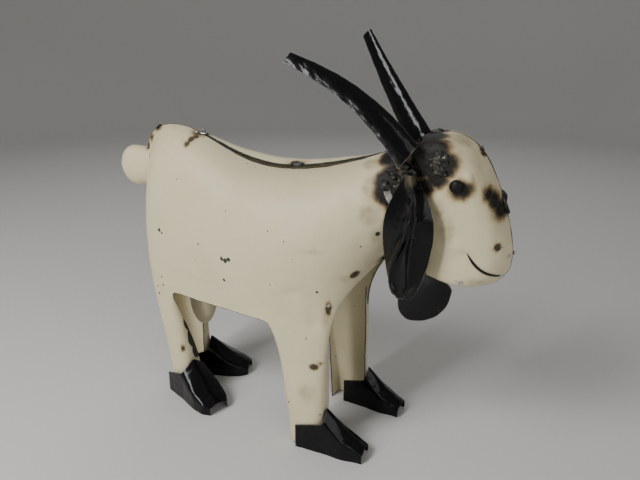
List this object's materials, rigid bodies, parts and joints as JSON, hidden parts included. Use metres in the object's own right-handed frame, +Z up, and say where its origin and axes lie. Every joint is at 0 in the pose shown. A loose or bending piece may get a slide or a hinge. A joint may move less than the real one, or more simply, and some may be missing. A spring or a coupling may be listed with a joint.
{
  "type": "goat figurine",
  "caption": "Standing goat of hammered and welded sheet steel: hollow cream body and head, black horns, ears, beard and folded hooves, scorched weld beads.",
  "frame": {"origin": "middle of the goat's overall length and width, on the floor under the hooves", "axes": "+X forward from tail to muzzle, +Y towards the goat's left side, +Z up"},
  "size_m": [0.3496, 0.1004, 0.3257],
  "materials": {
    "cream_enamel": "cream enamel over hammered steel, semi-gloss, chipped and scorched at the welds",
    "black_enamel": "glossy black enamel, hammered, worn to grey at the edges",
    "weld_metal": "rough dark weld bead with scorch"
  },
  "bodies": {
    "root": {"body_right_half": "cream_enamel", "body_left_half": "cream_enamel", "head_right_half": "cream_enamel", "head_left_half": "cream_enamel", "tail": "cream_enamel", "udder": "cream_enamel", "horn_right": "black_enamel", "horn_left": "black_enamel", "ear_right": "black_enamel", "ear_left": "black_enamel", "beard": "black_enamel", "hoof_front_right": "black_enamel", "hoof_front_left": "black_enamel", "hoof_hind_right": "black_enamel", "hoof_hind_left": "black_enamel", "eye_right": "black_enamel", "eye_left": "black_enamel", "weld_temple_right": "weld_metal", "weld_temple_left": "weld_metal", "weld_neck_right": "weld_metal", "weld_neck_left": "weld_metal", "weld_hip": "weld_metal", "weld_saddle": "weld_metal", "weld_chest": "weld_metal", "weld_nose": "weld_metal", "weld_brow": "weld_metal", "weld_lip": "weld_metal", "weld_chin": "weld_metal", "weld_crown": "weld_metal", "weld_rump": "weld_metal"}
  },
  "joints": []
}
